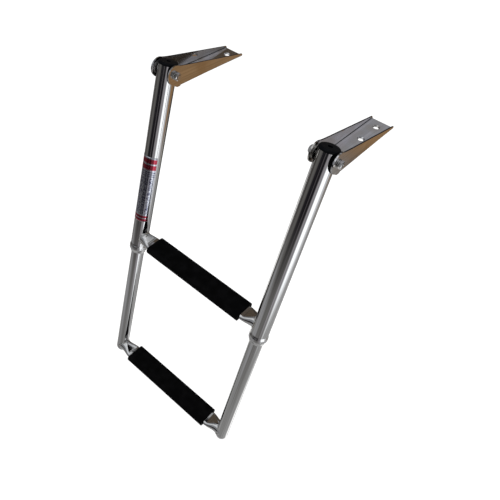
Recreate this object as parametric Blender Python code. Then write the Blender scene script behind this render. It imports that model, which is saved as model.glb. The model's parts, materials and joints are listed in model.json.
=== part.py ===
"""Two-step telescoping boarding ladder for a boat's swim platform.

The deck's top is the plane z = 0, +Y points inboard and +X to starboard. The ladder
hangs down over the platform's edge and leans outboard. Two channel brackets lie on the
deck, the upper section swings on their bolts, and the lower section slides inside it.
Units are metres.
"""

import math

import bmesh
import bpy
from mathutils import Matrix, Vector

MM = 0.001
GAP = 0.3 * MM
TUBE_SIDES = 56
STEP_SIDES = 36
SMALL_SIDES = 28

# Driving dimensions
LEAN = math.radians(15.0)
TUBE_SPACING = 275.4 * MM
UPPER_RADIUS = 14.3 * MM
LOWER_RADIUS = 11.1 * MM
WALL = 1.5 * MM
PIVOT_HEIGHT = 16.8 * MM

# Distances along the tubes, down from the pivot
TUBE_TOP = -10.0 * MM
UPPER_STEP_AT = 287.5 * MM
TUBE_END = 302.0 * MM
COLLAR_END = 320.0 * MM
STEP_SPACING = 272.5 * MM
LOWER_STEP_AT = UPPER_STEP_AT + STEP_SPACING
LADDER_END = 577.5 * MM
BUSH_TOP = 277.0 * MM

# Tube caps
CAP_THICKNESS = 4.2 * MM
CAP_ROUND = 2.6 * MM
CAP_PLUG_DEPTH = 5.0 * MM
CAP_PLUG_WALL = 2.0 * MM
CAP_HOLE_RADIUS = 3.4 * MM
CAP_HOLE_DEPTH = 4.0 * MM
CAP_HOLE_WALL = 1.4 * MM

# Collars and the sliding fit inside them
COLLAR_BULGE = 1.1 * MM
COLLAR_WALL = 1.2 * MM
COLLAR_LIP = 4.0 * MM
COLLAR_BULGE_LOW = 8.5 * MM
COLLAR_BULGE_HIGH = 12.5 * MM
BUSH_WALL = 1.1 * MM
GUIDE_LENGTH = 12.0 * MM
GUIDE_GROOVE = 0.7 * MM

# Brackets, measured from the pivot
BRACKET_HALF_WIDTH = 17.9 * MM
PLATE = 2.0 * MM
EAR_RADIUS = 14.3 * MM
BRACKET_END = 146.0 * MM
BASE_FRONT = 12.6 * MM
TIP_HEIGHT = 4.8 * MM
TIP_ROUND = 1.0 * MM
SHOULDER = (30.0 * MM, 7.9 * MM)
SHOULDER_TURN = math.radians(66.0)
HEEL_DROP = 1.5 * MM
HEEL_BACK = 9.3 * MM
HEEL_SLOPE = 1.2 * MM
HEEL_FRONT = 2.5 * MM
BEND_OUTSIDE = 2.7 * MM
BEND_INSIDE = 1.6 * MM
SCREW_HOLES_AT = (88.4 * MM, 129.5 * MM)
SCREW_HOLE_RADIUS = 3.6 * MM
COUNTERSINK_RADIUS = 5.2 * MM

# Pivot fasteners, M6
BOLT_RADIUS = 3.0 * MM
BOLT_HOLE_RADIUS = 3.3 * MM
HEX_ACROSS_FLATS = 10.0 * MM
HEX_CORNER = HEX_ACROSS_FLATS / 2 / math.cos(math.pi / 6)
HEX_CHAMFER = 0.4 * MM
HEAD_HEIGHT = 5.0 * MM
NUT_HEIGHT = 4.4 * MM
BOLT_PAST_NUT = 1.0 * MM
WASHER_RADIUS = 6.0 * MM
WASHER_THICKNESS = 1.2 * MM
PORT_SPACER_RADIUS = 10.0 * MM
STARBOARD_SPACER_RADIUS = 14.6 * MM
SPACER_THICKNESS = 1.0 * MM

# Steps and treads
STEP_RADIUS = 11.0 * MM
FLAT_THICKNESS = 9.5 * MM
FLAT_END = 104.0 * MM
ROUND_START = 126.0 * MM
FLAT_STRAIGHT = math.pi * (STEP_RADIUS - FLAT_THICKNESS / 2) / 2
TREAD_LENGTH = 201.4 * MM
TREAD_DEPTH = 38.6 * MM
TREAD_THICKNESS = 14.5 * MM
TREAD_CORNER = 6.2 * MM

SIDES = (("left", -1), ("right", 1))
TURN_TO_X = Matrix.Rotation(math.radians(90.0), 4, "Y")


def clear_scene():
    for obj in list(bpy.data.objects):
        bpy.data.objects.remove(obj)


def make_material(name, colour, roughness, metallic):
    material = bpy.data.materials.new(name)
    material.use_nodes = True
    shader = material.node_tree.nodes["Principled BSDF"]
    shader.inputs["Base Color"].default_value = (*colour, 1.0)
    shader.inputs["Roughness"].default_value = roughness
    shader.inputs["Metallic"].default_value = metallic
    return material


def make_empty(name, parent=None, location=(0.0, 0.0, 0.0), tilt=0.0):
    empty = bpy.data.objects.new(name, None)
    bpy.context.scene.collection.objects.link(empty)
    empty.parent = parent
    empty.location = location
    empty.rotation_euler = (tilt, 0.0, 0.0)
    return empty


def make_object(name, bm, material, parent, location=(0.0, 0.0, 0.0)):
    bmesh.ops.recalc_face_normals(bm, faces=bm.faces)
    if bm.calc_volume(signed=True) < 0.0:
        bmesh.ops.reverse_faces(bm, faces=bm.faces)
    mesh = bpy.data.meshes.new(name)
    bm.to_mesh(mesh)
    bm.free()
    mesh.shade_smooth()
    mesh.set_sharp_from_angle(angle=math.radians(35.0))
    if material:
        mesh.materials.append(material)
    obj = bpy.data.objects.new(name, mesh)
    bpy.context.scene.collection.objects.link(obj)
    obj.parent = parent
    obj.location = location
    return obj


def combine(obj, bm, name, operation):
    """Joins, cuts or keeps an object by a shape given in the parent's space."""
    helper = make_object(f"{obj.name}_{name}_helper", bm, None, obj.parent)
    helper.hide_render = True
    helper.display_type = "WIRE"
    modifier = obj.modifiers.new(name, "BOOLEAN")
    modifier.operation = operation
    modifier.solver = "EXACT"
    modifier.object = helper


def cut(obj, bm, name):
    combine(obj, bm, name, "DIFFERENCE")


def turned(profile, sides, closed=True):
    """A profile of (radius, height) points turned about Z. An open one ends on the axis."""
    bm = bmesh.new()
    verts = [bm.verts.new((radius, 0.0, height)) for radius, height in profile]
    edges = [bm.edges.new(pair) for pair in zip(verts, verts[1:])]
    if closed:
        edges.append(bm.edges.new((verts[-1], verts[0])))
    bmesh.ops.spin(
        bm,
        geom=verts + edges,
        cent=(0.0, 0.0, 0.0),
        axis=(0.0, 0.0, 1.0),
        angle=math.tau,
        steps=sides,
        use_merge=True,
    )
    bmesh.ops.remove_doubles(bm, verts=bm.verts, dist=1e-7)
    return bm


def ring(inner, outer, low, high, sides=TUBE_SIDES):
    return turned([(inner, low), (outer, low), (outer, high), (inner, high)], sides)


def moved(bm, offset, turn=None):
    if turn:
        bm.transform(turn)
    bm.transform(Matrix.Translation(offset))
    return bm


def rod_along_x(radius, low, high, y, z, sides=SMALL_SIDES):
    bm = bmesh.new()
    bmesh.ops.create_cone(
        bm, cap_ends=True, segments=sides, radius1=radius, radius2=radius, depth=high - low
    )
    return moved(bm, ((low + high) / 2, y, z), TURN_TO_X)


def rod_along_z(radius, low, high):
    profile = [(0.0, low), (radius, low), (radius, high), (0.0, high)]
    return turned(profile, TUBE_SIDES, closed=False)


def box(low, high):
    bm = bmesh.new()
    bmesh.ops.create_cube(bm, size=1.0)
    size = [b - a for a, b in zip(low, high)]
    middle = [(a + b) / 2 for a, b in zip(low, high)]
    bm.transform(Matrix.Translation(middle) @ Matrix.Diagonal((*size, 1.0)))
    return bm


def arc(centre, radius, start, stop, steps):
    """Points on an arc, with angles in radians."""
    points = []
    for step in range(steps + 1):
        angle = start + (stop - start) * step / steps
        points.append((centre[0] + radius * math.cos(angle), centre[1] + radius * math.sin(angle)))
    return points


def smooth(share):
    """Runs from 0 to 1 with level ends."""
    share = min(max(share, 0.0), 1.0)
    return share * share * (3 - 2 * share)


def tangent_angle(point, radius):
    """Where a line from a point below and behind touches a circle about the pivot."""
    reach = math.hypot(*point)
    return math.atan2(point[1], point[0]) - math.acos(radius / reach)


def shoulder(tip):
    """The hollow curve that leads the taper's straight edge up on to the round ear."""
    start = Vector(SHOULDER)
    end = EAR_RADIUS * Vector((math.cos(SHOULDER_TURN), math.sin(SHOULDER_TURN)))
    taper = (start.y - tip[1]) / (start.x - tip[0])
    fall = -1 / math.tan(SHOULDER_TURN)
    y = (end.y - start.y + taper * start.x - fall * end.x) / (taper - fall)
    corner = Vector((y, start.y + taper * (y - start.x)))
    points = []
    for step in range(8):
        share = step / 8
        point = start.lerp(corner, share).lerp(corner.lerp(end, share), share)
        points.append(tuple(point))
    return points


def flange_outline():
    """Side view of a bracket about its pivot, as (y, z), starting at its far end."""
    underside = -PIVOT_HEIGHT
    tip = (BRACKET_END - TIP_ROUND, underside + TIP_HEIGHT)
    heel = (HEEL_FRONT, underside - HEEL_DROP)
    outline = [(BRACKET_END, underside)]
    outline += arc((tip[0], tip[1] - TIP_ROUND), TIP_ROUND, 0.0, math.pi / 2, 3)
    outline += shoulder(tip)
    ear_bottom = tangent_angle(heel, EAR_RADIUS) + math.tau
    outline += arc((0.0, 0.0), EAR_RADIUS, SHOULDER_TURN, ear_bottom, 32)
    outline.append(heel)
    outline.append((HEEL_BACK - HEEL_SLOPE, heel[1]))
    outline.append((HEEL_BACK, underside))
    return outline


def bracket_blank(x):
    """The outline drawn out to the bracket's full width, with the two bends rounded."""
    bm = bmesh.new()
    left = [bm.verts.new((x - BRACKET_HALF_WIDTH, y, z)) for y, z in flange_outline()]
    face = bm.faces.new(left)
    result = bmesh.ops.extrude_face_region(bm, geom=[face])
    right = [item for item in result["geom"] if isinstance(item, bmesh.types.BMVert)]
    bmesh.ops.translate(bm, verts=right, vec=(2 * BRACKET_HALF_WIDTH, 0.0, 0.0))
    bends = []
    for edge in bm.edges:
        low = all(abs(vert.co.z + PIVOT_HEIGHT) < 1e-6 for vert in edge.verts)
        along = abs(edge.verts[0].co.y - edge.verts[1].co.y) > BRACKET_END / 2
        if low and along:
            bends.append(edge)
    bmesh.ops.bevel(
        bm, geom=bends, offset=BEND_OUTSIDE, segments=3, profile=0.5, affect="EDGES"
    )
    return bm


def channel_hollow(x):
    """The space between the flanges, with rounded inside corners."""
    inside = BRACKET_HALF_WIDTH - PLATE
    floor = PLATE - PIVOT_HEIGHT
    beyond = 2 * EAR_RADIUS
    bm = box((x - inside, -beyond, floor), (x + inside, BRACKET_END + beyond, beyond))
    corners = []
    for edge in bm.edges:
        low = all(abs(vert.co.z - floor) < 1e-6 for vert in edge.verts)
        along = abs(edge.verts[0].co.y - edge.verts[1].co.y) > BRACKET_END
        if low and along:
            corners.append(edge)
    bmesh.ops.bevel(
        bm, geom=corners, offset=BEND_INSIDE, segments=2, profile=0.5, affect="EDGES"
    )
    return bm


def front_opening(x):
    """Where the channel has no base, so that the tube can hang down through it."""
    inside = BRACKET_HALF_WIDTH - PLATE
    beyond = 2 * EAR_RADIUS
    return box((x - inside, -beyond, -beyond), (x + inside, BASE_FRONT, beyond))


def screw_hole(x, y):
    """A countersunk hole through the base."""
    low = -PIVOT_HEIGHT - MM
    floor = PLATE - PIVOT_HEIGHT
    sink = COUNTERSINK_RADIUS - SCREW_HOLE_RADIUS
    profile = [
        (0.0, low),
        (SCREW_HOLE_RADIUS, low),
        (SCREW_HOLE_RADIUS, floor - sink),
        (COUNTERSINK_RADIUS + MM, floor + MM),
        (0.0, floor + MM),
    ]
    return moved(turned(profile, SMALL_SIDES, closed=False), (x, y, 0.0))


def make_bracket(side, x, metal, parent):
    bracket = make_object(f"bracket_{side}", bracket_blank(x), metal, parent)
    cut(bracket, channel_hollow(x), "channel")
    cut(bracket, front_opening(x), "front")
    for number, y in enumerate(SCREW_HOLES_AT, start=1):
        cut(bracket, screw_hole(x, y), f"screw_{number}")
    beyond = 2 * BRACKET_HALF_WIDTH
    cut(bracket, rod_along_x(BOLT_HOLE_RADIUS, x - beyond, x + beyond, 0.0, 0.0), "bolt_hole")


def clamp_face():
    """Distance from a bracket's middle to the bearing face of its bolt head or nut."""
    return BRACKET_HALF_WIDTH + GAP + WASHER_THICKNESS + GAP


def hexagon(low, high):
    bm = bmesh.new()
    bmesh.ops.create_cone(
        bm, cap_ends=True, segments=6, radius1=HEX_CORNER, radius2=HEX_CORNER, depth=high - low
    )
    return moved(bm, (0.0, 0.0, (low + high) / 2))


def rounding(low, high):
    """A turned shape that holds what stays of a hexagon once its corners are taken off."""
    shoulder_height = high - (HEX_CORNER - HEX_ACROSS_FLATS / 2)
    profile = [
        (0.0, low),
        (HEX_CORNER + MM, low),
        (HEX_CORNER + MM, shoulder_height),
        (HEX_CORNER, shoulder_height),
        (HEX_ACROSS_FLATS / 2 - HEX_CHAMFER, high),
        (0.0, high),
    ]
    return turned(profile, SMALL_SIDES, closed=False)


def make_bolt(side, x, metal, parent):
    """One turned and milled piece: a hexagon head, and a shank through both ears."""
    head_face = clamp_face()
    head_end = head_face + HEAD_HEIGHT
    end = head_face + NUT_HEIGHT + BOLT_PAST_NUT
    to_port = Matrix.Rotation(math.radians(-90.0), 4, "Y")
    head = moved(hexagon(head_face, head_end), (x, 0.0, 0.0), to_port)
    bolt = make_object(f"pivot_bolt_{side}", head, metal, parent)
    shape = moved(rounding(head_face - MM, head_end), (x, 0.0, 0.0), to_port)
    combine(bolt, shape, "rounding", "INTERSECT")
    shank = rod_along_x(BOLT_RADIUS, x - head_face - HEAD_HEIGHT / 2, x + end, 0.0, 0.0)
    combine(bolt, shank, "shank", "UNION")


def make_nut(side, x, metal, parent):
    low = clamp_face()
    high = low + NUT_HEIGHT
    body = moved(hexagon(low, high), (x, 0.0, 0.0), TURN_TO_X)
    nut = make_object(f"pivot_nut_{side}", body, metal, parent)
    shape = moved(rounding(low - MM, high), (x, 0.0, 0.0), TURN_TO_X)
    combine(nut, shape, "rounding", "INTERSECT")
    cut(nut, rod_along_x(BOLT_HOLE_RADIUS, x + low - MM, x + high + MM, 0.0, 0.0), "bore")


def disc_along_x(radius, thickness, start):
    return moved(
        ring(BOLT_HOLE_RADIUS, radius, 0.0, thickness, SMALL_SIDES), (start, 0.0, 0.0), TURN_TO_X
    )


def make_washers(side, x, metal, nylon, parent):
    """A steel washer outside each ear, and one spacer of steel and one of nylon inside."""
    outside = BRACKET_HALF_WIDTH + GAP + WASHER_THICKNESS / 2
    for name, sign in (("head", -1), ("nut", 1)):
        start = x + sign * outside - WASHER_THICKNESS / 2
        washer = disc_along_x(WASHER_RADIUS, WASHER_THICKNESS, start)
        make_object(f"{name}_washer_{side}", washer, metal, parent)
    inside = (BRACKET_HALF_WIDTH - PLATE + UPPER_RADIUS) / 2
    spacers = (
        ("port", -1, PORT_SPACER_RADIUS, metal),
        ("starboard", 1, STARBOARD_SPACER_RADIUS, nylon),
    )
    for name, sign, radius, material in spacers:
        start = x + sign * inside - SPACER_THICKNESS / 2
        spacer = disc_along_x(radius, SPACER_THICKNESS, start)
        make_object(f"spacer_{side}_{name}", spacer, material, parent)


def make_upper_tube(side, x, metal, parent):
    inner = UPPER_RADIUS - WALL
    body = ring(inner, UPPER_RADIUS, -TUBE_END, -TUBE_TOP)
    tube = make_object(f"upper_tube_{side}", moved(body, (x, 0.0, 0.0)), metal, parent)
    beyond = 2 * UPPER_RADIUS
    cut(tube, rod_along_x(BOLT_HOLE_RADIUS, x - beyond, x + beyond, 0.0, 0.0), "bolt_hole")


def make_cap(side, x, plastic, parent):
    """A plug with a thin rounded head and a blind hole, pushed into the top of the tube."""
    head = -TUBE_TOP + GAP
    top = -TUBE_TOP + CAP_THICKNESS
    plug = UPPER_RADIUS - WALL - GAP
    plug_end = -TUBE_TOP - CAP_PLUG_DEPTH
    boss = CAP_HOLE_RADIUS + CAP_HOLE_WALL
    floor = top - CAP_HOLE_DEPTH
    profile = [(0.0, floor - CAP_HOLE_WALL), (boss, floor - CAP_HOLE_WALL), (boss, head)]
    profile += [(plug - CAP_PLUG_WALL, head), (plug - CAP_PLUG_WALL, plug_end)]
    profile += [(plug, plug_end), (plug, head), (UPPER_RADIUS, head)]
    profile += arc((UPPER_RADIUS - CAP_ROUND, top - CAP_ROUND), CAP_ROUND, 0.0, math.pi / 2, 5)
    profile += [(CAP_HOLE_RADIUS, top), (CAP_HOLE_RADIUS, floor), (0.0, floor)]
    body = turned(profile, TUBE_SIDES, closed=False)
    make_object(f"tube_cap_{side}", moved(body, (x, 0.0, 0.0)), plastic, parent)


def collar_outside(bottom, top):
    """Points up the collar's bulged outside, from its neck to the end of the tube."""
    bulge = UPPER_RADIUS + COLLAR_BULGE
    neck = LOWER_RADIUS + GAP + COLLAR_WALL
    points = []
    for step in range(8):
        share = step / 7
        radius = neck + (bulge - neck) * smooth(share)
        points.append((radius, bottom + COLLAR_BULGE_LOW * share))
    for step in range(6):
        share = step / 5
        radius = bulge - COLLAR_BULGE * smooth(share)
        low = bottom + COLLAR_BULGE_HIGH
        points.append((radius, low + (top - low) * share))
    return points


def make_collar(side, x, metal, parent):
    """The bulged ferrule on the end of the upper tube, necked in to the lower tube."""
    bottom = -COLLAR_END
    top = -TUBE_END - GAP
    bore = LOWER_RADIUS + GAP
    socket = bore + BUSH_WALL + GAP
    lip = bottom + COLLAR_LIP
    profile = [(bore, lip), (bore, bottom)]
    profile += collar_outside(bottom, top)
    profile += [(socket, top), (socket, lip)]
    body = turned(profile, TUBE_SIDES)
    make_object(f"collar_{side}", moved(body, (x, 0.0, 0.0)), metal, parent)


def make_slide_bush(side, x, nylon, parent):
    """Guides the lower tube. Its top stops the guide ring when the ladder is drawn out."""
    inner = LOWER_RADIUS + GAP
    bottom = -COLLAR_END + COLLAR_LIP + GAP
    body = ring(inner, inner + BUSH_WALL, bottom, -BUSH_TOP)
    make_object(f"slide_bush_{side}", moved(body, (x, 0.0, 0.0)), nylon, parent)


def make_lower_tube(side, x, metal, parent):
    """A tube with a domed closed end, necked at the top for its guide ring."""
    inner = LOWER_RADIUS - WALL
    groove = LOWER_RADIUS - GUIDE_GROOVE
    groove_end = -BUSH_TOP
    top = groove_end + GAP + GUIDE_LENGTH
    dome = -LADDER_END + LOWER_RADIUS
    profile = [(0.0, -LADDER_END)]
    profile += arc((0.0, dome), LOWER_RADIUS, -math.pi / 2, 0.0, 9)[1:]
    profile += [(LOWER_RADIUS, groove_end), (groove, groove_end), (groove, top)]
    profile += [(inner, top)]
    profile += arc((0.0, dome), inner, 0.0, -math.pi / 2, 5)[:-1]
    profile.append((0.0, dome - inner))
    body = turned(profile, TUBE_SIDES, closed=False)
    make_object(f"lower_tube_{side}", moved(body, (x, 0.0, 0.0)), metal, parent)


def make_guide_ring(side, x, nylon, parent):
    inner = LOWER_RADIUS - GUIDE_GROOVE + GAP
    outer = UPPER_RADIUS - WALL - GAP
    bottom = -BUSH_TOP + GAP
    body = ring(inner, outer, bottom, bottom + GUIDE_LENGTH - GAP)
    make_object(f"guide_ring_{side}", moved(body, (x, 0.0, 0.0)), nylon, parent)


def flat_oval(half_straight, end_radius, sides):
    """Points (depth, height) round a tube that is pressed flat."""
    points = []
    for step in range(sides):
        angle = math.tau * (step + 0.5) / sides
        shift = math.copysign(half_straight, math.cos(angle))
        points.append((shift + end_radius * math.cos(angle), end_radius * math.sin(angle)))
    return points


def step_section(x, inset):
    """The step tube's section at x: flat under the tread, round where it meets the tubes."""
    roundness = smooth((abs(x) - FLAT_END) / (ROUND_START - FLAT_END))
    flat_radius = FLAT_THICKNESS / 2
    end_radius = flat_radius + (STEP_RADIUS - flat_radius) * roundness - inset
    return flat_oval(FLAT_STRAIGHT * (1 - roundness), end_radius, STEP_SIDES)


def step_stations():
    """Where the sections stand, from end to end."""
    right = [FLAT_END + (ROUND_START - FLAT_END) * step / 7 for step in range(8)]
    right.append(TUBE_SPACING / 2)
    return [-x for x in reversed(right)] + right


def make_step(name, at, tube_radius, metal, parent):
    """A hollow step tube, level when the ladder hangs, coped round the tubes it joins."""
    bm = bmesh.new()
    level = Matrix.Rotation(LEAN, 4, "X")
    skins = []
    for inset in (0.0, WALL):
        rows = []
        for x in step_stations():
            section = step_section(x, inset)
            rows.append([bm.verts.new((x, y, z)) for y, z in section])
        skins.append(rows)
        for before, after in zip(rows, rows[1:]):
            for k in range(STEP_SIDES):
                n = (k + 1) % STEP_SIDES
                bm.faces.new((before[k], before[n], after[n], after[k]))
    outer, inner = skins
    for end in (0, -1):
        for k in range(STEP_SIDES):
            n = (k + 1) % STEP_SIDES
            bm.faces.new((outer[end][k], outer[end][n], inner[end][n], inner[end][k]))
    step = make_object(name, moved(bm, (0.0, 0.0, -at), level), metal, parent)
    reach = 2 * STEP_RADIUS
    for side, sign in SIDES:
        cope = rod_along_z(tube_radius + GAP, -at - reach, -at + reach)
        cut(step, moved(cope, (sign * TUBE_SPACING / 2, 0.0, 0.0)), f"{side}_cope")


def rounded_bar(depth, thickness, corner, half_length):
    """A bar along X with a rounded rectangular section."""
    outline = []
    quarter = math.pi / 2
    for turn, (side, up) in enumerate(((1, 1), (-1, 1), (-1, -1), (1, -1))):
        centre = (side * (depth / 2 - corner), up * (thickness / 2 - corner))
        outline += arc(centre, corner, turn * quarter, (turn + 1) * quarter, 6)
    bm = bmesh.new()
    face = bm.faces.new([bm.verts.new((-half_length, y, z)) for y, z in outline])
    result = bmesh.ops.extrude_face_region(bm, geom=[face])
    ends = [item for item in result["geom"] if isinstance(item, bmesh.types.BMVert)]
    bmesh.ops.translate(bm, verts=ends, vec=(2 * half_length, 0.0, 0.0))
    return bm


def make_tread(name, at, rubber, parent):
    """A moulded sleeve round the flat middle of a step."""
    level = Matrix.Rotation(LEAN, 4, "X")
    bar = rounded_bar(TREAD_DEPTH, TREAD_THICKNESS, TREAD_CORNER, TREAD_LENGTH / 2)
    tread = make_object(name, moved(bar, (0.0, 0.0, -at), level), rubber, parent)
    fit = FLAT_THICKNESS / 2 + GAP
    slot = rounded_bar(2 * (FLAT_STRAIGHT + fit), 2 * fit, fit, TREAD_LENGTH)
    cut(tread, moved(slot, (0.0, 0.0, -at), level), "slot")


def main():
    clear_scene()
    steel = make_material("polished_stainless", (0.62, 0.62, 0.61), 0.12, 1.0)
    bolt_steel = make_material("bolt_stainless", (0.55, 0.54, 0.52), 0.25, 1.0)
    nylon = make_material("black_nylon", (0.012, 0.012, 0.013), 0.45, 0.0)
    plastic = make_material("black_plastic", (0.01, 0.01, 0.012), 0.4, 0.0)
    rubber = make_material("black_rubber", (0.008, 0.008, 0.009), 0.7, 0.0)

    brackets = make_empty("brackets", location=(0.0, 0.0, PIVOT_HEIGHT))
    upper = make_empty("upper_section", location=(0.0, 0.0, PIVOT_HEIGHT), tilt=-LEAN)
    lower = make_empty("lower_section", parent=upper)

    for side, sign in SIDES:
        x = sign * TUBE_SPACING / 2
        make_bracket(side, x, steel, brackets)
        make_bolt(side, x, bolt_steel, brackets)
        make_nut(side, x, bolt_steel, brackets)
        make_washers(side, x, bolt_steel, nylon, brackets)
        make_upper_tube(side, x, steel, upper)
        make_cap(side, x, plastic, upper)
        make_collar(side, x, steel, upper)
        make_slide_bush(side, x, nylon, upper)
        make_lower_tube(side, x, steel, lower)
        make_guide_ring(side, x, nylon, lower)
    make_step("upper_step", UPPER_STEP_AT, UPPER_RADIUS, steel, upper)
    make_tread("upper_tread", UPPER_STEP_AT, rubber, upper)
    make_step("lower_step", LOWER_STEP_AT, LOWER_RADIUS, steel, lower)
    make_tread("lower_tread", LOWER_STEP_AT, rubber, lower)


main()
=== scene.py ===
import json
import math

import bmesh
import bpy
from mathutils import Euler, Matrix, Vector


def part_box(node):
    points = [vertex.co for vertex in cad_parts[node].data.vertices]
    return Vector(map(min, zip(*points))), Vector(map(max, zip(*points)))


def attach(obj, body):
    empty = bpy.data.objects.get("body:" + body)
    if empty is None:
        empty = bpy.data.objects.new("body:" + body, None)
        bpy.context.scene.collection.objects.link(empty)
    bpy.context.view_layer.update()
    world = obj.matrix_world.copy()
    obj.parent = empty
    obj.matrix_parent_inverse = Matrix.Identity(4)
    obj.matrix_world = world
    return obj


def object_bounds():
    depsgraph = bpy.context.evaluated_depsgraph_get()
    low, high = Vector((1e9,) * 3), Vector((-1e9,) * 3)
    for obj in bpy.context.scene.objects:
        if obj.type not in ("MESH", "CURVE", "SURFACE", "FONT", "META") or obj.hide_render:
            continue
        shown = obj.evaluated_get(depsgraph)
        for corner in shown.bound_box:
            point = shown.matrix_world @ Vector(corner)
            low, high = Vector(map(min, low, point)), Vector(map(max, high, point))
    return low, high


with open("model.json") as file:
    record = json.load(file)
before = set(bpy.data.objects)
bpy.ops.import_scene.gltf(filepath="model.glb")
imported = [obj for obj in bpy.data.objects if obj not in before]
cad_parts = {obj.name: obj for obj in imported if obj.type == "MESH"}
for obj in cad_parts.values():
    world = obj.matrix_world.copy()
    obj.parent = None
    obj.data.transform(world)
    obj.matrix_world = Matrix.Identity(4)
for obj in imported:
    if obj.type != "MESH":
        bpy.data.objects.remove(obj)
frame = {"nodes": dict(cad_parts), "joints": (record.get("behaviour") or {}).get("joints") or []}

cad_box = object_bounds()

MM = 0.001
SIDES = (("left", -1), ("right", 1))
SECTIONS = ("upper", "lower")
STEP_END_RADIUS = 11.0 * MM  # the steps are round at their ends and flattened between

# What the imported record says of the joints
JOINTS = {joint["name"]: joint for joint in frame["joints"]}
PIVOT = Vector(JOINTS["ladder_swing"]["pos_m"])
UP_TUBE = Vector(JOINTS["lower_slide"]["axis"])
LEAN = math.atan2(UP_TUBE.y, UP_TUBE.z)


# ---------------------------------------------------------------- measures of the CAD nodes


def middle(node):
    low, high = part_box(node)
    return (low + high) / 2


def half_width(node):
    low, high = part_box(node)
    return (high.x - low.x) / 2


TUBE_X = {side: middle(f"upper_tube_{side}").x for side, sign in SIDES}
TUBE_RADIUS = {section: half_width(f"{section}_tube_left") for section in SECTIONS}

# Takes a place on the ladder to the world: across it, square to its tubes, and up them
# from the pivot
LADDER_FRAME = Matrix.Translation(PIVOT) @ Matrix.Rotation(-LEAN, 4, "X")


def along_tube(point):
    """How far a point lies below the pivot, measured along the tubes."""
    return -(point - PIVOT).dot(UP_TUBE)


STEP_AT = {section: along_tube(middle(f"{section}_step")) for section in SECTIONS}


# ---------------------------------------------------------------- small helpers


def link(obj):
    bpy.context.scene.collection.objects.link(obj)
    return obj


def add_node(tree, kind, inputs=None, **settings):
    """Adds a node, with its inputs by socket, each a value or a link, and its settings."""
    node = tree.nodes.new(kind)
    for name, value in settings.items():
        setattr(node, name, value)
    for socket, value in (inputs or {}).items():
        if isinstance(value, bpy.types.NodeSocket):
            tree.links.new(value, node.inputs[socket])
        else:
            node.inputs[socket].default_value = value
    return node


def math_node(tree, operation, *values):
    inputs = dict(enumerate(values))
    return add_node(tree, "ShaderNodeMath", inputs, operation=operation).outputs[0]


def vector_node(tree, operation, *vectors):
    inputs = dict(enumerate(vectors))
    node = add_node(tree, "ShaderNodeVectorMath", inputs, operation=operation)
    return node.outputs["Value" if operation in ("DOT_PRODUCT", "LENGTH") else "Vector"]


def ramp(tree, value, low, high, start=0.0, end=1.0):
    """Eases from start to end as the value goes from low to high."""
    node = add_node(
        tree,
        "ShaderNodeMapRange",
        {"Value": value, "From Min": low, "From Max": high, "To Min": start, "To Max": end},
        interpolation_type="SMOOTHSTEP",
    )
    return node.outputs["Result"]


def mix_colour(tree, factor, first, second):
    """The first colour at factor 0 and the second at 1. Sockets 6, 7 and 2 carry colours."""
    inputs = {0: factor, 6: first, 7: second}
    return add_node(tree, "ShaderNodeMix", inputs, data_type="RGBA").outputs[2]


def new_material(name):
    """A material, its node tree and its Principled shader."""
    material = bpy.data.materials.new(name)
    material.use_nodes = True
    tree = material.node_tree
    return material, tree, tree.nodes["Principled BSDF"]


def set_shader(tree, shader, **values):
    """Sets the shader's sockets by name, with _ for a space: a number, a colour or a link."""
    for name, value in values.items():
        socket = shader.inputs[name.replace("_", " ")]
        if isinstance(value, bpy.types.NodeSocket):
            tree.links.new(value, socket)
        else:
            socket.default_value = value


def object_point(tree, scale=(1.0, 1.0, 1.0), turn=0.0):
    """The place on the piece in metres, turned about X and then stretched."""
    place = add_node(tree, "ShaderNodeTexCoord").outputs["Object"]
    rotation = {"Vector": place, "Rotation": (turn, 0.0, 0.0)}
    turned = add_node(tree, "ShaderNodeMapping", rotation).outputs["Vector"]
    stretch = {"Vector": turned, "Scale": scale}
    return add_node(tree, "ShaderNodeMapping", stretch).outputs["Vector"]


def noise(tree, vector, scale, detail=3.0, roughness=0.5):
    """Soft noise from 0 to 1. Over a place in metres, its scale is cells in a metre."""
    inputs = {"Vector": vector, "Scale": scale, "Detail": detail, "Roughness": roughness}
    return add_node(tree, "ShaderNodeTexNoise", inputs).outputs["Fac"]


def bump(tree, height, distance, strength):
    inputs = {"Height": height, "Distance": distance, "Strength": strength}
    return add_node(tree, "ShaderNodeBump", inputs).outputs["Normal"]


# ---------------------------------------------------------------- camera and studio


CAMERA_LENS_MM = 35.61
CAMERA_AT = (0.35611, -0.45513, 0.36568)
CAMERA_TURN_DEGREES = (43.097, -5.285, 39.958)


def make_camera():
    data = bpy.data.cameras.new("camera")
    data.sensor_width = 36.0
    data.lens = CAMERA_LENS_MM
    data.clip_start = 0.01
    data.clip_end = 100.0
    camera = link(bpy.data.objects.new("camera", data))
    camera.location = CAMERA_AT
    camera.rotation_euler = Euler([math.radians(angle) for angle in CAMERA_TURN_DEGREES])
    bpy.context.scene.camera = camera


# The room that reflections show: its light overhead, high up, level and below, and where
# each gives way to the next, as elevations in radians.
ROOM_TOP = (0.95, 0.97, 1.0)
ROOM_HIGH = (0.22, 0.225, 0.235)
ROOM_LEVEL = (0.14, 0.135, 0.13)
ROOM_LOW = (0.44, 0.44, 0.44)
LOW_TO_LEVEL = (-1.0, -0.3)
LEVEL_TO_HIGH = (0.0, 0.6)
HIGH_TO_TOP = (1.0, 1.25)

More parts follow.
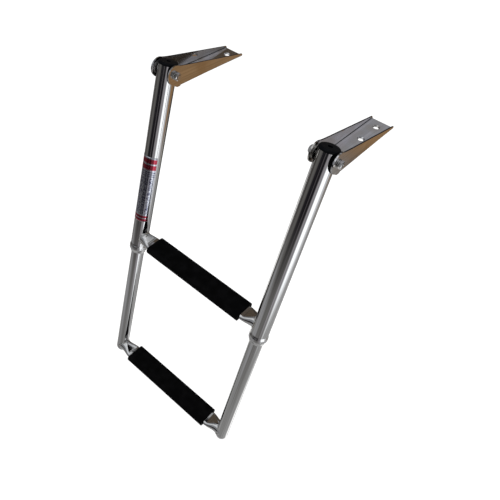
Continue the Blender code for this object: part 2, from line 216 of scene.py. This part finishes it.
# Soft panels in that room, each laid over the ones before it: azimuth from +X towards +Y,
# elevation, half width, half height and how far it fades out, in degrees, then its light.
PANELS = (
    # Outboard, -Y, and to its sides
    (-88.0, -8.0, 30.0, 11.0, 14.0, (0.016, 0.015, 0.018)),
    (-84.0, -10.0, 3.0, 12.0, 4.0, (0.110, 0.100, 0.105)),
    (-160.0, -12.0, 7.0, 14.0, 8.0, (0.060, 0.055, 0.050)),
    (-125.0, -30.0, 26.0, 5.0, 7.0, (0.36, 0.36, 0.37)),
    (-48.0, -16.0, 11.0, 16.0, 8.0, (0.36, 0.345, 0.365)),
    # Starboard, +X
    (14.0, -34.0, 20.0, 8.0, 10.0, (0.75, 0.75, 0.77)),
    (-12.0, -16.0, 20.0, 20.0, 13.0, (1.70, 1.75, 1.80)),
    # Inboard, +Y, and round to port, -X, below the level
    (70.0, -27.5, 38.0, 6.5, 4.0, (0.34, 0.205, 0.100)),
    (82.0, -37.0, 14.0, 3.5, 4.0, (0.10, 0.065, 0.040)),
    (59.0, -39.0, 10.0, 2.5, 3.5, (0.46, 0.44, 0.40)),
    (116.0, -45.0, 32.0, 15.0, 8.0, (0.040, 0.036, 0.034)),
    (162.0, -37.0, 9.0, 8.0, 8.0, (1.40, 1.38, 1.35)),
    (38.0, -66.0, 26.0, 7.0, 8.0, (1.50, 1.50, 1.50)),
    # Inboard and round to port, about level and above
    (57.0, 34.0, 25.0, 9.0, 8.0, (0.56, 0.55, 0.60)),
    (54.0, 4.0, 24.0, 13.0, 8.0, (0.020, 0.024, 0.035)),
    (105.0, 35.0, 16.0, 12.0, 9.0, (0.36, 0.36, 0.385)),
    (142.0, 34.0, 22.0, 28.0, 12.0, (0.10, 0.078, 0.058)),
    (118.0, 11.0, 27.0, 7.0, 6.0, (0.025, 0.024, 0.026)),
    (122.0, -12.0, 26.0, 11.0, 6.0, (0.12, 0.085, 0.050)),
    # Outboard, above
    (-112.0, 20.0, 34.0, 13.0, 12.0, (0.30, 0.31, 0.33)),
    (-112.0, 50.0, 34.0, 14.0, 12.0, (0.85, 0.87, 0.90)),
)


def panel_mask(tree, direction, elevation, *shape):
    """1 in the directions that a panel of this shape covers, easing to 0 round its edge."""
    azimuth, centre, half_wide, half_high, fade = (math.radians(angle) for angle in shape)
    ahead = (math.cos(azimuth), math.sin(azimuth), 0.0)
    across = (-math.sin(azimuth), math.cos(azimuth), 0.0)
    side = math_node(
        tree,
        "ARCTAN2",
        vector_node(tree, "DOT_PRODUCT", direction, across),
        vector_node(tree, "DOT_PRODUCT", direction, ahead),
    )
    side = math_node(tree, "ABSOLUTE", side)
    lift = math_node(tree, "ABSOLUTE", math_node(tree, "SUBTRACT", elevation, centre))
    wide = ramp(tree, side, half_wide - fade / 2, half_wide + fade / 2, 1.0, 0.0)
    high = ramp(tree, lift, half_high - fade / 2, half_high + fade / 2, 1.0, 0.0)
    return math_node(tree, "MULTIPLY", wide, high)


def room_colour(tree):
    """The reflected room's light in the direction of a ray."""
    direction = add_node(tree, "ShaderNodeTexCoord").outputs["Generated"]
    rise = add_node(tree, "ShaderNodeSeparateXYZ", {0: direction}).outputs["Z"]
    elevation = math_node(tree, "ARCSINE", rise)
    colour = (*ROOM_LOW, 1.0)
    zones = ((LOW_TO_LEVEL, ROOM_LEVEL), (LEVEL_TO_HIGH, ROOM_HIGH), (HIGH_TO_TOP, ROOM_TOP))
    for heights, light in zones:
        colour = mix_colour(tree, ramp(tree, elevation, *heights), colour, (*light, 1.0))
    for *shape, light in PANELS:
        mask = panel_mask(tree, direction, elevation, *shape)
        colour = mix_colour(tree, mask, colour, (*light, 1.0))
    return colour


DAYLIGHT = 1.12


def make_world():
    """Even white light for diffuse rays and the backdrop, and the room for glossy rays."""
    world = bpy.data.worlds.new("studio")
    world.use_nodes = True
    bpy.context.scene.world = world
    tree = world.node_tree
    plain = tree.nodes["Background"]
    plain.inputs["Color"].default_value = (1.0, 1.0, 1.0, 1.0)
    plain.inputs["Strength"].default_value = DAYLIGHT
    room = add_node(tree, "ShaderNodeBackground", {"Color": room_colour(tree), "Strength": 1.0})
    glossy = add_node(tree, "ShaderNodeLightPath").outputs["Is Glossy Ray"]
    shaders = {0: glossy, 1: plain.outputs[0], 2: room.outputs[0]}
    mixed = add_node(tree, "ShaderNodeMixShader", shaders)
    tree.links.new(mixed.outputs[0], tree.nodes["World Output"].inputs["Surface"])


FLOOR_SIZE = 40.0
FLOOR_DROP = 0.22
FLOOR_GREY = (0.93, 0.93, 0.93, 1.0)


def make_floor():
    """A wide pale floor, well below the ladder's foot."""
    level = cad_box[0].z - FLOOR_DROP
    bpy.ops.mesh.primitive_plane_add(size=FLOOR_SIZE, location=(0.0, 0.0, level))
    floor = bpy.context.object
    floor.name = "studio_floor"
    material, tree, shader = new_material("pale_floor")
    set_shader(tree, shader, Base_Color=FLOOR_GREY, Roughness=0.9, Specular_IOR_Level=0.0)
    floor.data.materials.append(material)
    floor.visible_glossy = False


LIGHT_SIZE = 2.0
LIGHT_WATTS = 12.0
LIGHT_AT = Vector((-0.4, -0.6, 1.8))
LIGHT_AIMS_AT = Vector((0.0, 0.0, -0.25))


def make_light():
    data = bpy.data.lights.new("overhead", "AREA")
    data.size = LIGHT_SIZE
    data.energy = LIGHT_WATTS
    light = link(bpy.data.objects.new("overhead", data))
    light.location = LIGHT_AT
    light.rotation_euler = (LIGHT_AIMS_AT - LIGHT_AT).to_track_quat("-Z", "Y").to_euler()
    light.visible_glossy = False
    light.visible_camera = False


# ---------------------------------------------------------------- materials


# A pattern's scale along a tube or a bracket, which draws it out into lines
ALONG = 0.012

TUBE_BRIGHT = (0.67, 0.67, 0.67, 1.0)
TUBE_STREAK = (0.565, 0.56, 0.555, 1.0)


def polished_tube(name, extra_roughness=0.0):
    """Mirror-polished tube: fine lines, scratches and darker streaks along it, and smudges."""
    material, tree, shader = new_material(name)
    place = object_point(tree, turn=LEAN)
    lines = object_point(tree, (1.0, 1.0, ALONG), LEAN)
    smudge = noise(tree, place, 38.0, detail=4.0, roughness=0.6)
    fine = noise(tree, lines, 5200.0, detail=2.0)
    scratch = ramp(tree, noise(tree, lines, 1500.0, detail=5.0, roughness=0.8), 0.66, 0.74)
    streak = ramp(tree, noise(tree, lines, 480.0, roughness=0.6), 0.40, 0.62)
    dull = math_node(tree, "MULTIPLY_ADD", scratch, 0.10, extra_roughness)
    smudged = ramp(tree, smudge, 0.35, 0.8, start=0.05, end=0.11)
    set_shader(
        tree,
        shader,
        Base_Color=mix_colour(tree, streak, TUBE_BRIGHT, TUBE_STREAK),
        Metallic=1.0,
        Roughness=math_node(tree, "ADD", smudged, dull),
        Normal=bump(tree, fine, distance=0.002 * MM, strength=0.35),
    )
    return material


SHEET_BRIGHT = (0.66, 0.66, 0.67, 1.0)
SHEET_STREAK = (0.55, 0.55, 0.555, 1.0)
# Brownish colour for uneven patches on the plate: a painted reflection of warm wood
SHEET_PAINTED_WOOD_REFLECTION = (0.50, 0.465, 0.42, 1.0)


def polished_sheet():
    """Polished plate: streaks and scratches along the bracket, smudges, and brownish patches of
    painted wood reflection.
    """
    material, tree, shader = new_material("polished_sheet")
    place = object_point(tree)
    lines = object_point(tree, (1.0, ALONG, 1.0))
    smudge = noise(tree, place, 55.0, detail=4.0, roughness=0.6)
    fine = noise(tree, lines, 4200.0, detail=2.0)
    streak = ramp(tree, noise(tree, lines, 420.0, roughness=0.6), 0.40, 0.62)
    scratch = ramp(tree, noise(tree, lines, 1100.0, detail=5.0, roughness=0.8), 0.64, 0.74)
    # Uneven patches tinted brownish: a painted reflection of wood, mixed into the base colour
    painted_wood_reflection = ramp(tree, noise(tree, place, 26.0, detail=2.0), 0.44, 0.66, end=0.75)
    colour = mix_colour(tree, streak, SHEET_BRIGHT, SHEET_STREAK)
    dull = math_node(tree, "MULTIPLY", scratch, 0.12)
    smudged = ramp(tree, smudge, 0.3, 0.8, start=0.08, end=0.17)
    set_shader(
        tree,
        shader,
        Base_Color=mix_colour(tree, painted_wood_reflection, colour, SHEET_PAINTED_WOOD_REFLECTION),
        Metallic=1.0,
        Roughness=math_node(tree, "ADD", smudged, dull),
        Normal=bump(tree, fine, distance=0.003 * MM, strength=0.4),
    )
    return material


TURNED_BRIGHT = (0.66, 0.65, 0.64, 1.0)
TURNED_DULL = (0.50, 0.49, 0.47, 1.0)
RING_PITCH = 0.2856 * MM


def turned_steel():
    """Bolts, nuts, washers and steel spacers: lathe rings about the pivot, and a fine grain."""
    material, tree, shader = new_material("turned_steel")
    place = object_point(tree)
    offset = vector_node(tree, "SUBTRACT", place, tuple(PIVOT))
    flat = vector_node(tree, "MULTIPLY", offset, (0.0, 1.0, 1.0))
    radius = vector_node(tree, "LENGTH", flat)
    rings = math_node(tree, "SINE", math_node(tree, "MULTIPLY", radius, math.tau / RING_PITCH))
    grain = noise(tree, place, 900.0, detail=4.0, roughness=0.6)
    height = math_node(tree, "MULTIPLY_ADD", rings, 0.3, grain)
    patches = ramp(tree, noise(tree, place, 220.0), 0.3, 0.7)
    set_shader(
        tree,
        shader,
        Base_Color=mix_colour(tree, patches, TURNED_BRIGHT, TURNED_DULL),
        Metallic=1.0,
        Roughness=ramp(tree, grain, 0.3, 0.7, start=0.14, end=0.28),
        Normal=bump(tree, height, distance=0.012 * MM, strength=0.5),
    )
    return material


WELD_BRIGHT = (0.62, 0.62, 0.62, 1.0)
WELD_STRAW = (0.56, 0.52, 0.45, 1.0)


def weld_steel():
    """Weld bead: a grainy surface with a trace of straw colour."""
    material, tree, shader = new_material("weld_steel")
    place = object_point(tree)
    grain = noise(tree, place, 700.0, detail=4.0, roughness=0.6)
    tint = ramp(tree, noise(tree, place, 160.0, detail=2.0), 0.4, 0.7)
    set_shader(
        tree,
        shader,
        Base_Color=mix_colour(tree, tint, WELD_BRIGHT, WELD_STRAW),
        Metallic=1.0,
        Roughness=ramp(tree, grain, 0.3, 0.7, start=0.16, end=0.30),
        Normal=bump(tree, grain, distance=0.03 * MM, strength=0.5),
    )
    return material


RUBBER_BLACK = (0.0008, 0.0008, 0.0009, 1.0)
RUBBER_PALER = (0.0024, 0.0024, 0.0027, 1.0)


def black_rubber():
    """Moulded rubber: a fine pebbled grain, and broad patches a little paler and duller."""
    material, tree, shader = new_material("black_rubber")
    place = object_point(tree)
    cells = {"Vector": place, "Scale": 1400.0}
    pebbles = add_node(tree, "ShaderNodeTexVoronoi", cells, feature="SMOOTH_F1").outputs["Distance"]
    fine = noise(tree, place, 3800.0)
    patches = noise(tree, place, 60.0, detail=4.0, roughness=0.6)
    height = math_node(tree, "MULTIPLY_ADD", fine, 0.35, math_node(tree, "SUBTRACT", 1.0, pebbles))
    set_shader(
        tree,
        shader,
        Base_Color=mix_colour(tree, ramp(tree, patches, 0.35, 0.75), RUBBER_BLACK, RUBBER_PALER),
        Roughness=ramp(tree, patches, 0.3, 0.8, start=0.62, end=0.78),
        Specular_IOR_Level=0.10,
        IOR=1.25,
        Normal=bump(tree, height, distance=0.12 * MM, strength=0.6),
    )
    return material


PLASTIC_BLACK = (0.002, 0.0022, 0.0032, 1.0)
PLASTIC_SCUFF = (0.0044, 0.0046, 0.0058, 1.0)


def black_moulding(name, roughness):
    """Injection-moulded plastic: a spark-eroded grain and a few scuffs."""
    material, tree, shader = new_material(name)
    grain = noise(tree, object_point(tree), 2600.0)
    scratches = noise(tree, object_point(tree, (1.0, 0.1, 1.0)), 420.0, detail=4.0, roughness=0.7)
    scuffs = ramp(tree, scratches, 0.62, 0.72, end=0.5)
    set_shader(
        tree,
        shader,
        Base_Color=mix_colour(tree, scuffs, PLASTIC_BLACK, PLASTIC_SCUFF),
        Roughness=ramp(tree, grain, 0.3, 0.7, start=roughness - 0.05, end=roughness + 0.08),
        Specular_IOR_Level=0.20,
        IOR=1.25,
        Normal=bump(tree, grain, distance=0.03 * MM, strength=0.5),
    )
    return material


def bars(tree, v, *edges):
    """1 where v lies between one of the pairs of edges, and 0 elsewhere."""
    total = None
    for low, high in edges:
        above = math_node(tree, "GREATER_THAN", v, low)
        below = math_node(tree, "LESS_THAN", v, high)
        inside = math_node(tree, "MULTIPLY", above, below)
        total = inside if total is None else math_node(tree, "ADD", total, inside)
    return total


LABEL_RED = (0.34, 0.036, 0.060, 1.0)
LABEL_SILVER = (0.50, 0.51, 0.56, 1.0)
LABEL_BLUE = (0.030, 0.032, 0.10, 1.0)
BLACK = (0.0, 0.0, 0.0, 1.0)
WHITE = (1.0, 1.0, 1.0, 1.0)

# Where the label's print lies, as shares of its length, down, and of its width
RED_BANDS = ((0.025, 0.090), (0.112, 0.182), (0.905, 0.94), (0.955, 0.995))
THIN_LINES = ((0.210, 0.222), (0.240, 0.252), (0.270, 0.282))
PRINT_LENGTH = (0.30, 0.88)
BLOCK_COLUMN = (0.60, 0.74)
DASH_COLUMNS = ((0.30, 0.55), (0.78, 0.90))


def dashes(tree, uv):
    """1 on rows of short dashes with gaps, which stand in for small print."""
    colours = {"Color1": BLACK, "Color2": WHITE, "Mortar": BLACK}
    sizes = {"Scale": 30.0, "Mortar Size": 0.012, "Brick Width": 0.9, "Row Height": 0.36}
    rows = add_node(tree, "ShaderNodeTexBrick", {"Vector": uv, **colours, **sizes})
    return math_node(tree, "GREATER_THAN", rows.outputs["Color"], 0.5)


def blocks(tree, v):
    """1 on plain blocks of uneven length along the label, which stand in for large print."""
    inputs = {"Scale": 95.0, "Detail": 0.0, "W": v}
    uneven = add_node(tree, "ShaderNodeTexNoise", inputs, noise_dimensions="1D")
    return math_node(tree, "GREATER_THAN", uneven.outputs["Fac"], 0.47)


def label_print():
    """A foil label: red bands at its ends, and plain bars of ink between them."""
    material, tree, shader = new_material("label_foil")
    uv = add_node(tree, "ShaderNodeUVMap", uv_map="label").outputs["UV"]
    parts = add_node(tree, "ShaderNodeSeparateXYZ", {0: uv})
    u, v = parts.outputs["X"], parts.outputs["Y"]
    large = math_node(tree, "MULTIPLY", bars(tree, u, BLOCK_COLUMN), blocks(tree, v))
    small = math_node(tree, "MULTIPLY", bars(tree, u, *DASH_COLUMNS), dashes(tree, uv))
    ink = math_node(tree, "MAXIMUM", large, small)
    ink = math_node(tree, "MULTIPLY", ink, bars(tree, v, PRINT_LENGTH))
    ink = math_node(tree, "MAXIMUM", ink, bars(tree, v, *THIN_LINES))
    colour = mix_colour(tree, math_node(tree, "MULTIPLY", ink, 0.85), LABEL_SILVER, LABEL_BLUE)
    colour = mix_colour(tree, bars(tree, v, *RED_BANDS), colour, LABEL_RED)
    uneven = noise(tree, object_point(tree), 300.0)
    set_shader(
        tree,
        shader,
        Base_Color=colour,
        Metallic=0.95,
        Roughness=ramp(tree, uneven, 0.3, 0.7, start=0.08, end=0.15),
        Coat_Weight=0.15,
        Coat_Roughness=0.06,
    )
    return material


# ---------------------------------------------------------------- CAD nodes


CRISP_ANGLE = math.radians(32.0)
SOFTENED_ANGLE = math.radians(50.0)


def smooth_shading():
    """Modifier nodes that shade the round faces as round and keep real edges crisp."""
    tree = bpy.data.node_groups.new("smooth_shading", "GeometryNodeTree")
    tree.interface.new_socket("Geometry", in_out="INPUT", socket_type="NodeSocketGeometry")
    tree.interface.new_socket("Geometry", in_out="OUTPUT", socket_type="NodeSocketGeometry")
    tree.is_modifier = True
    start = tree.nodes.new("NodeGroupInput").outputs[0]
    plain = add_node(tree, "GeometryNodeRemoveAttribute", {0: start, "Name": "custom_normal"})
    smooth = {0: plain.outputs[0], "Shade Smooth": True}
    faces = add_node(tree, "GeometryNodeSetShadeSmooth", smooth, domain="FACE")
    angle = tree.nodes.new("GeometryNodeInputMeshEdgeAngle").outputs["Unsigned Angle"]
    crisp = math_node(tree, "GREATER_THAN", angle, CRISP_ANGLE)
    sharp = {0: faces.outputs[0], "Selection": crisp, "Shade Smooth": False}
    edges = add_node(tree, "GeometryNodeSetShadeSmooth", sharp, domain="EDGE")
    end = tree.nodes.new("NodeGroupOutput")
    tree.links.new(edges.outputs[0], end.inputs[0])
    return tree


def finish_node(name, material, shading, edge=0.0):
    """Gives a CAD node its material, round shading and, where asked, softened edges."""
    obj = frame["nodes"][name]
    obj.data.materials.clear()
    obj.data.materials.append(material)
    weld = obj.modifiers.new("weld", "WELD")
    weld.merge_threshold = 0.001 * MM
    if edge:
        bevel = obj.modifiers.new("edges", "BEVEL")
        bevel.width = edge
        bevel.segments = 2
        bevel.limit_method = "ANGLE"
        bevel.angle_limit = SOFTENED_ANGLE
    nodes = obj.modifiers.new("shading", "NODES")
    nodes.node_group = shading
    even = obj.modifiers.new("even", "WEIGHTED_NORMAL")
    even.keep_sharp = True


# ---------------------------------------------------------------- added pieces


def mesh_piece(name, bm, material, body):
    """Makes the mesh a smooth piece of this material, which rides on a body."""
    bmesh.ops.recalc_face_normals(bm, faces=bm.faces)
    mesh = bpy.data.meshes.new(name)
    bm.to_mesh(mesh)
    bm.free()
    mesh.shade_smooth()
    mesh.materials.append(material)
    obj = link(bpy.data.objects.new(name, mesh))
    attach(obj, body)
    return obj


# A weld bead, its points round the joint and round its own thickness, and the ripples and
# slow swells round it, each with the share of the radius that it adds or takes
BEAD_RADIUS = 1.25 * MM
BEAD_AROUND = 220
BEAD_ACROSS = 12
RIPPLES = 46
RIPPLE_SHARE = 0.10
SWELLS = 7
SWELL_SHARE = 0.05


def bead_ring(side, sign, section, turn):
    """The points round a bead's thickness, at one turn round the joint."""
    depth = STEP_END_RADIUS * math.cos(turn)
    rise = STEP_END_RADIUS * math.sin(turn)
    reach = math.sqrt(TUBE_RADIUS[section] ** 2 - depth**2)
    centre = Vector((TUBE_X[side] - sign * reach, depth, rise - STEP_AT[section]))
    outward = Vector((-sign, 0.0, 0.0))
    radial = Vector((0.0, math.cos(turn), math.sin(turn)))
    ripple = RIPPLE_SHARE * math.sin(RIPPLES * turn)
    swell = SWELL_SHARE * math.sin(SWELLS * turn + sign)
    size = BEAD_RADIUS * (1.0 + ripple + swell)
    for k in range(BEAD_ACROSS):
        spin = math.tau * k / BEAD_ACROSS
        yield centre + size * (outward * math.cos(spin) + radial * math.sin(spin))


def weld_bead(side, sign, section, material):
    """A rippled bead round the joint of a step's end and a tube."""
    bm = bmesh.new()
    rings = []
    for i in range(BEAD_AROUND):
        points = bead_ring(side, sign, section, math.tau * i / BEAD_AROUND)
        rings.append([bm.verts.new(LADDER_FRAME @ point) for point in points])
    for i, ring in enumerate(rings):
        after = rings[(i + 1) % BEAD_AROUND]
        for k in range(BEAD_ACROSS):
            n = (k + 1) % BEAD_ACROSS
            bm.faces.new((ring[k], ring[n], after[n], after[k]))
    mesh_piece(f"{section}_weld_{side}", bm, material, f"{section}_section")


# The label's ends, as distances down the tube from the pivot, and how far it wraps round
# the tube and stands off it
LABEL_TOP = 131.5 * MM
LABEL_BOTTOM = 250.5 * MM
LABEL_HALF_TURN = math.radians(76.0)
LABEL_STANDS_OFF = 0.12 * MM
LABEL_THICKNESS = 0.8 * LABEL_STANDS_OFF
LABEL_COLUMNS = 64
LABEL_ROWS = 60


def label_point(across, down):
    """A place on the label's outer face, from shares of its width and of its length."""
    turn = -math.pi / 2 + LABEL_HALF_TURN * (2 * across - 1)
    radius = TUBE_RADIUS["upper"] + LABEL_STANDS_OFF
    below = LABEL_TOP + (LABEL_BOTTOM - LABEL_TOP) * down
    point = (TUBE_X["left"] + radius * math.cos(turn), radius * math.sin(turn), -below)
    return LADDER_FRAME @ Vector(point)


def make_label(material):
    """A thin foil label wrapped round the outboard side of the left upper tube."""
    bm = bmesh.new()
    layer = bm.loops.layers.uv.new("label")
    grid = []
    for j in range(LABEL_ROWS + 1):
        places = [(i / LABEL_COLUMNS, j / LABEL_ROWS) for i in range(LABEL_COLUMNS + 1)]
        grid.append([(bm.verts.new(label_point(*place)), place) for place in places])
    for j in range(LABEL_ROWS):
        for i in range(LABEL_COLUMNS):
            corners = (grid[j][i], grid[j][i + 1], grid[j + 1][i + 1], grid[j + 1][i])
            face = bm.faces.new([vert for vert, place in corners])
            for loop, (vert, place) in zip(face.loops, corners):
                loop[layer].uv = place
    label = mesh_piece("tube_label", bm, material, "upper_section")
    shell = label.modifiers.new("thickness", "SOLIDIFY")
    shell.thickness = LABEL_THICKNESS
    shell.offset = -1.0


# ---------------------------------------------------------------- build


make_camera()
make_world()
make_floor()
make_light()

tube_steel = polished_tube("polished_tube")
collar_steel = polished_tube("spun_collar", extra_roughness=0.12)
sheet_steel = polished_sheet()
bolt_steel = turned_steel()
bead_steel = weld_steel()
rubber = black_rubber()
plastic = black_moulding("black_cap", roughness=0.34)
nylon = black_moulding("black_nylon", roughness=0.48)
shading = smooth_shading()

for side, sign in SIDES:
    finish_node(f"bracket_{side}", sheet_steel, shading, edge=0.3 * MM)
    for name in ("pivot_bolt", "pivot_nut", "head_washer", "nut_washer"):
        finish_node(f"{name}_{side}", bolt_steel, shading, edge=0.15 * MM)
    for section in SECTIONS:
        finish_node(f"{section}_tube_{side}", tube_steel, shading)
    finish_node(f"collar_{side}", collar_steel, shading)
    for name in ("slide_bush", "guide_ring"):
        finish_node(f"{name}_{side}", nylon, shading)
    finish_node(f"spacer_{side}_port", bolt_steel, shading)
    finish_node(f"spacer_{side}_starboard", nylon, shading)
    finish_node(f"tube_cap_{side}", plastic, shading)
for section in SECTIONS:
    finish_node(f"{section}_step", tube_steel, shading)
    finish_node(f"{section}_tread", rubber, shading, edge=0.8 * MM)

for side, sign in SIDES:
    for section in SECTIONS:
        weld_bead(side, sign, section, bead_steel)
make_label(label_print())

bpy.context.scene.view_settings.view_transform = "Standard"
